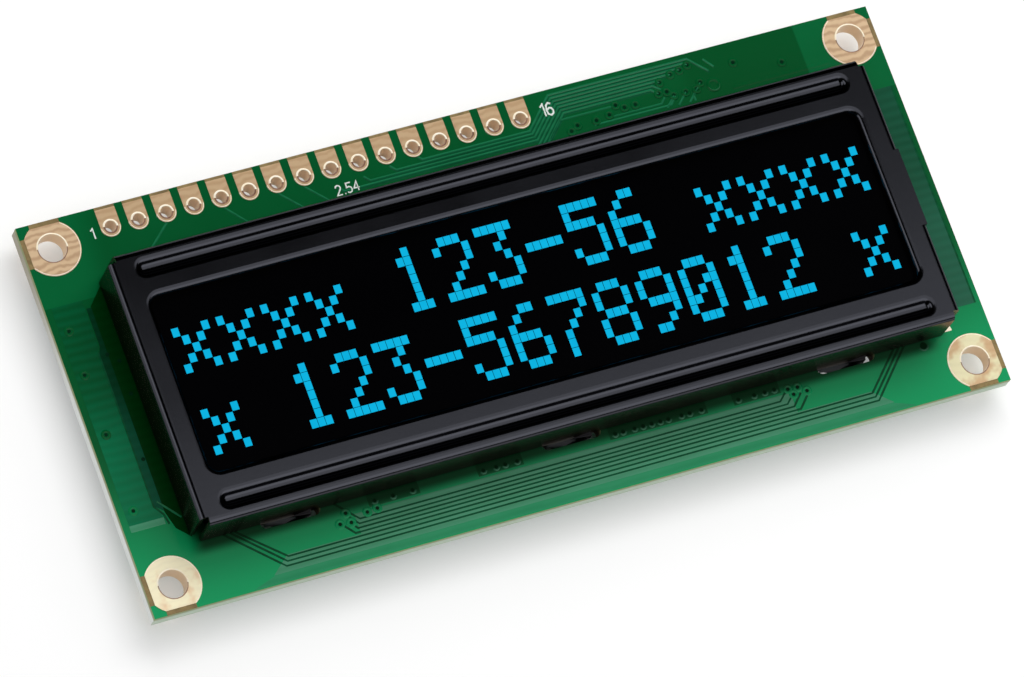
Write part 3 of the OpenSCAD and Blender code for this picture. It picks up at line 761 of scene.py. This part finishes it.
class OLED_OT_pours(bpy.types.Operator):
    """Lays the areas of mask over copper, beside it and over bare laminate, the last with a painted shadow"""

    bl_idname = "oled.pours"
    bl_label = "Areas of mask"

    def execute(self, context):
        look = context.scene.oled_board
        top = BOARD_HIGH.z
        mask = NODES["circuit_board"].data.materials[0]
        # Pale green with a gloss that shows the weave
        pour = copper_mask_material("Solder mask over a copper pour", "#2A7C54", "#3E8A67", look)
        mesh = bmesh.new()
        for path, width in FRONT_BANDS:
            add_ribbon(mesh, path, width * MM, top, POUR_RISE, 0.9)
        add_area(mesh, OUTER_BAND, top, POUR_RISE)
        add_piece("front_bands", mesh, pour)
        # A light strip along the front edge
        margin = copper_mask_material("Solder mask over a margin pour", "#187A4E", "#2A885C", look, 0.13)
        mesh = bmesh.new()
        add_area(mesh, MARGIN_BAND, top, 0.006 * MM)
        add_piece("margin_band", mesh, margin)
        add_ribbons("faint_tracks", mask, FAINT_TRACKS, 0.34 * MM, top, 0.02 * MM, 0.6)
        for name, outline, rise, tones, finish in AREAS:
            mesh = bmesh.new()
            add_area(mesh, outline, top, rise)
            add_piece(name, mesh, copper_mask_material(*tones, look, *finish))
        add_piece("mask_lap", lap_mesh(), mask)
        # A darker green round the row of small vias
        patch = copper_mask_material("Solder mask in a gap round vias", "#02502A", "#07663A", look, 0.1)
        paths = [[(first, FRONT_PATCH_Y), (last, FRONT_PATCH_Y)] for first, last in FRONT_PATCHES]
        add_ribbons("front_patches", patch, paths, 1.04 * MM, top, 0.008 * MM, 0.9)
        return {"FINISHED"}


class OLED_OT_tracks(bpy.types.Operator):
    """Lays the etched gaps and the tracks on the board"""

    bl_idname = "oled.tracks"
    bl_label = "Gaps and tracks"

    def execute(self, context):
        look = context.scene.oled_board
        top = BOARD_HIGH.z
        # Gaps are dark lines, and tracks a little lighter than the mask round them
        gap = copper_mask_material("Solder mask in an etched gap", "#033A20", "#084E2E", look, 0.08)
        trace = copper_mask_material("Solder mask over a track", "#0C5A36", "#156A44", look)
        mesh = bmesh.new()
        for path in OUTER_GAPS + INNER_GAPS + SIDE_GAPS:
            add_ribbon(mesh, path, look.gap_width, top, POUR_RISE + 0.004 * MM)
        for path in fan_tracks():
            beside = [(x + 0.06, y - 0.16) for x, y in path]
            add_ribbon(mesh, beside, look.gap_width, top, 0.004 * MM)
        add_piece("etched_gaps", mesh, gap)
        add_ribbons("tracks", trace, SINGLE_TRACKS + fan_tracks(), look.track_width, top, 0.035 * MM, 0.35)
        return {"FINISHED"}


def via_profile(outer, inner):
    """Gives the section of a via's rim, in metres, from its foot to the edge of its well."""
    top = BOARD_HIGH.z
    crown = (outer + inner) / 2
    return [
        (outer * MM, top), ((crown + (outer - crown) * 0.6) * MM, top + 0.045 * MM),
        (crown * MM, top + 0.065 * MM), ((crown - (crown - inner) * 0.6) * MM, top + 0.045 * MM),
        (inner * MM, top + 0.004 * MM),
    ]


class OLED_OT_vias(bpy.types.Operator):
    """Raises via rims and highlight-painted lips, and lays discs of painted shade where the holes are"""

    bl_idname = "oled.vias"
    bl_label = "Vias"

    def execute(self, context):
        look = context.scene.oled_board
        # Painted light: pale lips as highlights, and near-black discs as shade over the holes
        lip = copper_mask_material("Solder mask with a painted highlight on via lips", "#2E7654", "#45906C", look, 0.15)
        well = copper_mask_material("Painted shade in a via", "#021A0E", "#052E1A", look, 0.04)
        rims = bmesh.new()
        wells = bmesh.new()
        lips = bmesh.new()
        low = BOARD_HIGH.z + 0.012 * MM
        high = BOARD_HIGH.z + 0.02 * MM
        for spot in FRONT_VIAS:
            centre = Vector(spot) * MM
            add_lathe(rims, centre, via_profile(0.46, 0.16), 24)
            add_disc(wells, centre, 0.16 * MM, high)
        # The sunk vias show only a disc of painted shade
        for spot in SUNK_VIAS:
            add_disc(wells, Vector(spot) * MM, 0.18 * MM, high)
        # The small vias at the front stand in dark patches, each with a lower lip painted as a highlight
        for x in FRONT_BUMPS:
            centre = Vector((x, FRONT_BUMP_Y)) * MM
            add_disc(wells, centre, 0.17 * MM, low)
            add_lathe(lips, centre, via_profile(0.38, 0.17), 14, math.radians(205), math.radians(140))
        # The wide vias show longer lips with the same painted highlight
        arc = (20, math.radians(200), math.radians(150))
        add_lathe(lips, WIDE_VIA, via_profile(0.5, 0.32), *arc)
        add_disc(wells, WIDE_VIA, 0.32 * MM, low, 28)
        add_lathe(rims, RING_VIA, via_profile(0.7, 0.3), 32)
        add_lathe(lips, RING_VIA, via_profile(0.62, 0.4), *arc)
        add_piece("via_highlight_lips", lips, lip)
        add_piece("via_rims", rims, NODES["circuit_board"].data.materials[0])
        add_piece("via_hole_shades", wells, well)
        return {"FINISHED"}


def collar_profile(level, radius, width, side=1):
    """Gives the section of a hole's thin raised rim, in metres, steep inside and sloping outside."""
    return [
        (radius * MM, level), ((radius + 0.1 * width) * MM, level + side * 0.3 * width * MM),
        ((radius + 0.35 * width) * MM, level + side * 0.36 * width * MM), ((radius + width) * MM, level),
    ]


def edge_profile(level, radius):
    """Gives the section of a land's sloping edge, in metres, down to the board."""
    return [
        ((radius - 0.1) * MM, level), ((radius - 0.05) * MM, level + 0.015 * MM),
        ((radius + 0.01) * MM, BOARD_HIGH.z),
    ]


def add_rims(rims, shade, centre, radius, highlight, shaded, count):
    """Rolls a hole's rims: painted highlight behind and painted shade in front, and highlight all round on
    the back.
    """
    top = BOARD_HIGH.z + PLATE
    turn = math.radians(-8)
    add_lathe(rims, centre, collar_profile(top, radius, highlight), count, turn, math.pi)
    add_lathe(shade, centre, collar_profile(top, radius, shaded), count, turn + math.pi, math.pi)
    add_lathe(rims, centre, collar_profile(BOARD_LOW.z - PLATE, radius, 0.12, -1), count * 4 // 3)


class OLED_OT_lands(bpy.types.Operator):
    """Plates the lands and rolls a rim round each hole"""

    bl_idname = "oled.lands"
    bl_label = "Lands"

    def execute(self, context):
        look = context.scene.oled_board
        brushed = gold_material("Gold plating, brushed", look.gold_dark, look.gold_light, look)
        paint_nodes(brushed, "mounting_lands")
        wiped = gold_material("Gold plating, wiped", look.pad_dark, look.pad_light, look)
        paint_nodes(wiped, "header_lands", "jumper_lands")
        # Painted light: a highlight colour on the rear half of each rim, a shade colour on the front half
        highlight = speckled_material("Gold plating, painted highlight", "#FFF0D0", "#FFF8E6", 0.6, 0.3, metallic=0.1)
        shaded_gold = speckled_material("Gold plating, painted shade", "#7A5544", "#A07C66", 0.5, 0.4, metallic=0.3)
        # The bare land by the bezel's corner takes the highlight colour as a painted glint
        paint_nodes(highlight, "earth_land")
        rims = bmesh.new()
        shade = bmesh.new()
        ends = bmesh.new()
        top = BOARD_HIGH.z + PLATE
        half = PAD_RADIUS * MM
        for i in range(PIN_COUNT):
            centre = PIN_FIRST + Vector((i * PIN_PITCH, 0))
            add_rims(rims, shade, centre, PIN_HOLE, 0.19, 0.14, 24)
            # The sloping edge of each land takes the painted highlight colour too
            add_lathe(rims, centre, edge_profile(top, PAD_RADIUS), 24, math.pi, math.pi)
            add_plate(
                ends, (centre.x - half, PIN_LAND_END, BOARD_HIGH.z),
                (centre.x + half, PIN_LAND_END + 0.14 * MM, top),
            )
        for hole in HOLE_SPOTS:
            add_rims(rims, shade, hole, MOUNT_HOLE, 0.14, 0.08, 36)
            # Each land is round except beside the two edges of the board
            start = math.atan2(math.copysign(1, hole.y), math.copysign(1, hole.x)) + LAND_CUT
            # Its sloping edge takes the painted highlight colour too
            add_lathe(rims, hole, edge_profile(top, LAND_RADIUS), 48, start, 2 * (math.pi - LAND_CUT))
        add_piece("land_ends", ends, wiped)
        add_piece("hole_rims", rims, highlight)
        add_piece("shaded_rims", shade, shaded_gold)
        return {"FINISHED"}


# Each figure is a list of strokes on a grid one unit high
FIGURES = {
    "1": [[(0.12, 0.78), (0.36, 1.0), (0.36, 0.0)]],
    "2": [[
        (0.0, 0.76), (0.08, 0.93), (0.25, 1.0), (0.42, 0.93), (0.5, 0.76), (0.44, 0.56), (0.0, 0.0),
        (0.52, 0.0),
    ]],
    "4": [[(0.4, 0.0), (0.4, 1.0), (0.0, 0.32), (0.55, 0.32)]],
    "5": [[
        (0.5, 1.0), (0.06, 1.0), (0.02, 0.56), (0.26, 0.62), (0.46, 0.5), (0.5, 0.3), (0.42, 0.08),
        (0.22, 0.0), (0.0, 0.1),
    ]],
    "6": [[
        (0.46, 0.9), (0.28, 1.0), (0.08, 0.84), (0.0, 0.5), (0.04, 0.14), (0.25, 0.0), (0.46, 0.12),
        (0.5, 0.34), (0.42, 0.54), (0.25, 0.6), (0.04, 0.44),
    ]],
    ".": [[(0.05, 0.02), (0.16, 0.02)]],
}
# From one figure to the next, as a share of the height
FIGURE_STEP = 0.72
FIGURE_STEPS = {"1": 0.55, ".": 0.36}
# Text, place of its lower left corner, height in millimetres, and how bold it is
PRINTS = [("1", -33.95, 15.33, 0.95, 1.0), ("16", 8.0, 15.68, 1.14, 1.3), ("2.54", -11.95, 13.55, 0.9, 1.0)]


class OLED_OT_print(bpy.types.Operator):
    """Prints plain numbers beside the header row"""

    bl_idname = "oled.print"
    bl_label = "Printed numbers"

    def execute(self, context):
        look = context.scene.oled_board
        # Matt white with a faint green cast where it is thin
        ink = speckled_material("White screen ink", look.ink, "#CFD8D2", 0.3, 0.55, bump_height=0.005)
        mesh = bmesh.new()
        for text, x, y, height, bold in PRINTS:
            for letter in text:
                for stroke in FIGURES[letter]:
                    path = [(x + px * height, y + py * height) for px, py in stroke]
                    add_ribbon(mesh, path, look.ink_width * bold, BOARD_HIGH.z, 0.045 * MM)
                x += FIGURE_STEPS.get(letter, FIGURE_STEP) * height
        add_piece("printed_numbers", mesh, ink)
        return {"FINISHED"}


# Bezel and display


class OLED_OT_bezel(bpy.types.Operator):
    """Blackens the bezel"""

    bl_idname = "oled.bezel"
    bl_label = "Bezel"

    def execute(self, context):
        paint_nodes(black_coat_material(context.scene.oled_front), "bezel")
        return {"FINISHED"}


# Plain finishes: name, two tones, grain in millimetres, roughness, metal, height of the grain, and CAD nodes
DISPLAY_FINISHES = [
    # Dark and smooth, as the layer looks where it gives no light
    ("Organic layer, unlit", "#12161A", "#1C2228", 1.0, 0.3, 0.0, 0.0, ["emitter_cells"]),
    # Matt black with open pores
    ("Black foam", "#1A1A1A", "#2B2B2B", 0.25, 0.9, 0.0, 0.05, ["foam_pad"]),
    # Warm amber, almost smooth
    ("Amber polyimide foil", "#A86A1E", "#C2862F", 2.0, 0.35, 0.0, 0.003, ["flex_tail"]),
]
DOT_FIGURES = {
    "0": "01110 10001 10011 10101 11001 10001 01110", "1": "00100 01100 00100 00100 00100 00100 01110",
    "2": "01110 10001 00001 00010 00100 01000 11111", "3": "11111 00010 00100 00010 00001 10001 01110",
    "4": "00010 00110 01010 10010 11111 00010 00010", "5": "11111 10000 11110 00001 00001 10001 01110",
    "6": "00110 01000 10000 11110 10001 10001 01110", "7": "11111 00001 00010 00100 01000 01000 01000",
    "8": "01110 10001 10001 01110 10001 10001 01110", "9": "01110 10001 10001 01111 00001 00010 01100",
    "-": "00000 00000 00000 11111 00000 00000 00000", "x": "00000 00000 10001 01010 00100 01010 10001",
    " ": "00000 00000 00000 00000 00000 00000 00000",
}
DOT_MIDDLE = Vector((0.75, 1.17)) * MM
# Dots from one character place to the next, across and down
PLACE_STEP = 6
LINE_STEP = 9
# Middle of the sixteen places, middle column of a figure, and its lowest row
MIDDLE_PLACE = 7.5
MIDDLE_COLUMN = 2
LOWEST_ROW = 6


class OLED_OT_display(bpy.types.Operator):
    """Finishes the display and lights its dots"""

    bl_idname = "oled.display"
    bl_label = "Display"

    def execute(self, context):
        look = context.scene.oled_front
        paint_nodes(film_material(look), "polariser")
        paint_nodes(glass_material(), "front_glass", "cover_glass")
        for *finish, names in DISPLAY_FINISHES:
            paint_nodes(speckled_material(*finish), *names)
        mesh = bmesh.new()
        half_x = (look.dot_pitch_x - look.dot_gap) / 2
        half_y = (look.dot_pitch_y - look.dot_gap) / 2
        lines = (look.first_line, look.second_line)
        # Every dot that is lit, by its line and place, and by its row and column in the figure
        dots = [
            (line, place, row, column)
            for line, text in enumerate(lines)
            for place, letter in enumerate(text)
            for row, cells in enumerate(DOT_FIGURES[letter].split())
            for column, cell in enumerate(cells)
            if cell == "1"
        ]
        for line, place, row, column in dots:
            across = (place - MIDDLE_PLACE) * PLACE_STEP + column - MIDDLE_COLUMN
            x = DOT_MIDDLE.x + across * look.dot_pitch_x
            y = DOT_MIDDLE.y + (LOWEST_ROW - row - line * LINE_STEP) * look.dot_pitch_y
            low = (x - half_x, y - half_y, FILM_TOP)
            high = (x + half_x, y + half_y, FILM_TOP + 0.01 * MM)
            add_plate(mesh, low, high, 0.004 * MM)
        add_piece("lit_dots", mesh, lit_material(look))
        return {"FINISHED"}


# Back of the board

BACK_FINISHES = [
    # Glossy black with slow swells
    ("Black potting epoxy", "#0B0B0D", "#16161A", 3.0, 0.28, 0.0, 0.02, ["epoxy_glob"]),
    # Grey, almost a mirror
    ("Polished silicon", "#4A4E56", "#666C76", 0.5, 0.2, 0.6, 0.0, ["controller_die"]),
    # Dull dark grey with a fine grain
    ("Sintered ferrite", "#2A2A2E", "#3C3C41", 0.15, 0.7, 0.0, 0.01, ["inductor_core"]),
    # Copper red with a clear shine
    ("Enamelled copper wire", "#9A4A1C", "#BE6A2E", 0.6, 0.3, 0.7, 0.0, ["inductor_coil"]),
    # Matt black with a fine grain
    ("Moulded epoxy", "#141416", "#222226", 0.12, 0.65, 0.0, 0.006, ["diode_body", "chip_resistors"]),
    # Tan and satin
    ("Fired capacitor ceramic", "#9A7A4E", "#B5946A", 0.2, 0.5, 0.0, 0.004, ["chip_capacitors"]),
    # Pale grey with a soft shine
    (
        "Tin plate and solder", "#A9ADB2", "#D4D7DA", 0.4, 0.3, 0.5, 0.0,
        ["diode_leads", "chip_terminals", "solder_fillets"],
    ),
]
# From the header lands to the glob and chips, from the glob to bare lands, and between the supply's parts
BACK_TRACKS = [
    [(-32.0, 15.4), (-32.0, 3.0), (-30.0, 1.0), (-16.3, 1.0)],
    [(-29.46, 15.4), (-29.46, 4.5), (-27.46, 2.5), (-15.8, 2.5)],
    [(-21.84, 15.4), (-21.84, 11.4), (-14.7, 4.3)],
    [(-19.3, 15.4), (-19.3, 10.7), (-13.8, 5.2)],
    [(-16.76, 15.4), (-16.76, 9.8), (-12.8, 5.8)],
    [(-14.22, 15.4), (-14.22, 8.8), (-11.8, 6.4)],
    [(-11.68, 15.4), (-11.68, 7.7), (-10.7, 6.7)],
    [(-9.14, 15.4), (-9.14, 6.8)],
    [(-6.6, 15.4), (-6.6, 6.5)],
    [(-4.06, 15.4), (-4.06, 5.0)],
    [(3.56, 15.4), (3.56, 8.4)],
    [(6.1, 15.4), (6.1, 9.1), (5.4, 8.4)],
    [(-1.9, -2.4), (2.4, -2.4), (4.0, -4.0), (4.0, -5.9)],
    [(-1.6, -1.6), (5.7, -1.6), (7.3, -3.2), (7.3, -5.9)],
    [(-1.5, -0.8), (9.0, -0.8), (10.6, -2.4), (10.6, -5.9)],
    [(14.0, 3.1), (14.0, -1.1)],
    [(29.0, 3.1), (29.0, -1.6)],
    [(15.6, 4.5), (19.2, 4.5)],
    [(23.6, 4.5), (27.4, 4.5)],
]


class OLED_OT_back(bpy.types.Operator):
    """Finishes the parts on the back of the board and lays its tracks and vias"""

    bl_idname = "oled.back"
    bl_label = "Parts on the back"

    def execute(self, context):
        for *finish, names in BACK_FINISHES:
            paint_nodes(speckled_material(*finish), *names)
        low = BOARD_LOW.z
        pour = bpy.data.materials["Solder mask over a copper pour"]
        add_ribbons("back_tracks", pour, BACK_TRACKS, 0.35 * MM, low, -0.03 * MM, 0.5)
        mesh = bmesh.new()
        profile = [(0.4 * MM, low), (0.28 * MM, low - 0.04 * MM), (0.16 * MM, low - 0.004 * MM)]
        for spot in FRONT_VIAS + SUNK_VIAS:
            add_lathe(mesh, Vector(spot) * MM, profile, 20)
        add_piece("back_vias", mesh, bpy.data.materials["Solder mask over a track"])
        return {"FINISHED"}


# Stage


def floor_material(colour):
    """Pale paper sweep: it is white to the eye and in mirrors, and still takes the module's shadow."""
    material, tree, place = new_material("Pale paper sweep")
    grain = add_node(tree, *NOISE, {"Vector": place, "Scale": per_mm(40)})
    tone = add_node(tree, *MIX, {0: grain, 6: rgba(colour), 7: rgba("#FDFDFD")})
    paper = add_node(tree, "BsdfDiffuse", None, {"Color": tone})
    # Painted shadow: no glow deep under the board, where the front slots look down into the dark
    x, y = add_node(tree, *SPLIT, {0: place}).outputs[:2]
    along = add_node(tree, *NEAR, {0: x, 1: -12.5 * MM, 2: 16.5 * MM})
    across = add_node(tree, *NEAR, {0: y, 1: -12 * MM, 2: 1 * MM})
    below = add_node(tree, *TIMES, {0: along, 1: across})
    strength = add_node(tree, "Math", {"operation": "SUBTRACT"}, {0: 1.0, 1: below})
    glow = add_node(tree, "Emission", None, {"Color": rgba("#FFFFFF"), "Strength": strength})
    half = add_node(tree, "MixShader", None, {0: 0.3, 1: paper, 2: glow})
    path = add_node(tree, "LightPath")
    seen = path.outputs["Is Camera Ray"]
    either = {"operation": "ADD", "use_clamp": True}
    for ray in ("Is Glossy Ray", "Is Transmission Ray"):
        seen = add_node(tree, "Math", either, {0: seen, 1: path.outputs[ray]})
    return close_material(material, add_node(tree, "MixShader", None, {0: seen, 1: paper, 2: half}))


def studio_world(look):
    """Even room light that does not show in gloss and is white to the eye beyond the floor's end."""
    world = bpy.data.worlds.new("Studio")
    bpy.context.scene.world = world
    world.use_nodes = True
    tree = world.node_tree
    tree.nodes.clear()
    eye = add_node(tree, "LightPath").outputs["Is Camera Ray"]
    level = add_node(tree, *RANGE, {"Value": eye, "To Min": look.room_level, "To Max": 1.0})
    room = add_node(tree, "Background", None, {"Color": rgba("#FFFFFF"), "Strength": level})
    add_node(tree, "OutputWorld", None, {"Surface": room})
    world.cycles_visibility.glossy = False


def add_lamp(name, place, target, size, level, mirrored):
    """Adds a soft rectangular lamp that either lights the set or only shows in gloss."""
    data = bpy.data.lights.new(name, "AREA")
    data.shape = "RECTANGLE"
    data.size, data.size_y = size
    data.energy = math.pi * size[0] * size[1] * level
    lamp = add_object(name, data)
    way = Vector(target) - Vector(place)
    lamp.matrix_world = Matrix.Translation(place) @ way.to_track_quat("-Z", "Y").to_matrix().to_4x4()
    lamp.visible_camera = False
    lamp.visible_glossy = mirrored
    lamp.visible_diffuse = not mirrored


class OLED_OT_stage(bpy.types.Operator):
    """Lays the floor, sets the lamps and places the camera"""

    bl_idname = "oled.stage"
    bl_label = "Stage"

    def execute(self, context):
        scene = context.scene
        look = scene.oled_stage
        scene.view_settings.view_transform = "Standard"
        mesh = bmesh.new()
        reach = 3.0
        corners = ((-reach, -reach, 0), (reach, -reach, 0), (reach, reach, 0), (-reach, reach, 0))
        mesh.faces.new([mesh.verts.new(corner) for corner in corners])
        data = bpy.data.meshes.new("floor")
        mesh.to_mesh(data)
        mesh.free()
        data.materials.append(floor_material(look.floor_colour))
        floor = add_object("floor", data)
        studio_world(look)
        box = look.box_level
        add_lamp("key", (0.28, 0.38, 0.42), (0, 0, 0), (0.75, 0.35), look.key_level, False)
        add_lamp("box_over", (0.08, -0.044, 0.25), (0.08, -0.044, 0), (0.36, 0.212), box * 0.66, True)
        add_lamp("box_right", (0.185, 0.08, 0.25), (0.185, 0.08, 0), (0.15, 0.03), box * 0.15, True)
        add_lamp("box_front", (0.2, -0.43, 0.25), (0.2, -0.43, 0), (0.6, 0.56), box, True)
        add_lamp("box_left", (-0.5, 0.14, 0.19), (0, 0.14, 0.19), (0.6, 0.28), box, True)
        data = bpy.data.cameras.new("camera")
        data.lens = look.lens
        data.sensor_width = 36.0
        data.clip_start = 0.01
        data.clip_end = 20.0
        camera = add_object("camera", data)
        camera.location = look.camera_place
        camera.rotation_euler = look.camera_turn
        scene.camera = camera
        return {"FINISHED"}


class OLED_PT_panel(bpy.types.Panel):
    """Lists the settings and the steps"""

    bl_idname = "OLED_PT_panel"
    bl_label = "OLED module"
    bl_space_type = "VIEW_3D"
    bl_region_type = "UI"
    bl_category = "OLED module"

    def draw(self, context):
        for group in (context.scene.oled_board, context.scene.oled_front, context.scene.oled_stage):
            box = self.layout.box()
            for name in group.__annotations__:
                box.prop(group, name)
        for step in OPERATORS:
            self.layout.operator(step.bl_idname)


GROUPS = {"oled_board": BoardLook, "oled_front": FrontLook, "oled_stage": StageLook}
OPERATORS = (
    OLED_OT_board, OLED_OT_pours, OLED_OT_tracks, OLED_OT_vias, OLED_OT_lands, OLED_OT_print, OLED_OT_bezel,
    OLED_OT_display, OLED_OT_back, OLED_OT_stage,
)


def register():
    for name, group in GROUPS.items():
        bpy.utils.register_class(group)
        setattr(bpy.types.Scene, name, bpy.props.PointerProperty(type=group))
    for step in (*OPERATORS, OLED_PT_panel):
        bpy.utils.register_class(step)


def unregister():
    for step in reversed((*OPERATORS, OLED_PT_panel)):
        bpy.utils.unregister_class(step)
    for name, group in reversed(GROUPS.items()):
        delattr(bpy.types.Scene, name)
        bpy.utils.unregister_class(group)


def main():
    register()
    bpy.ops.oled.board()
    bpy.ops.oled.pours()
    bpy.ops.oled.tracks()
    bpy.ops.oled.vias()
    bpy.ops.oled.lands()
    bpy.ops.oled.print()
    bpy.ops.oled.bezel()
    bpy.ops.oled.display()
    bpy.ops.oled.back()
    bpy.ops.oled.stage()


if __name__ == "__main__":
    main()
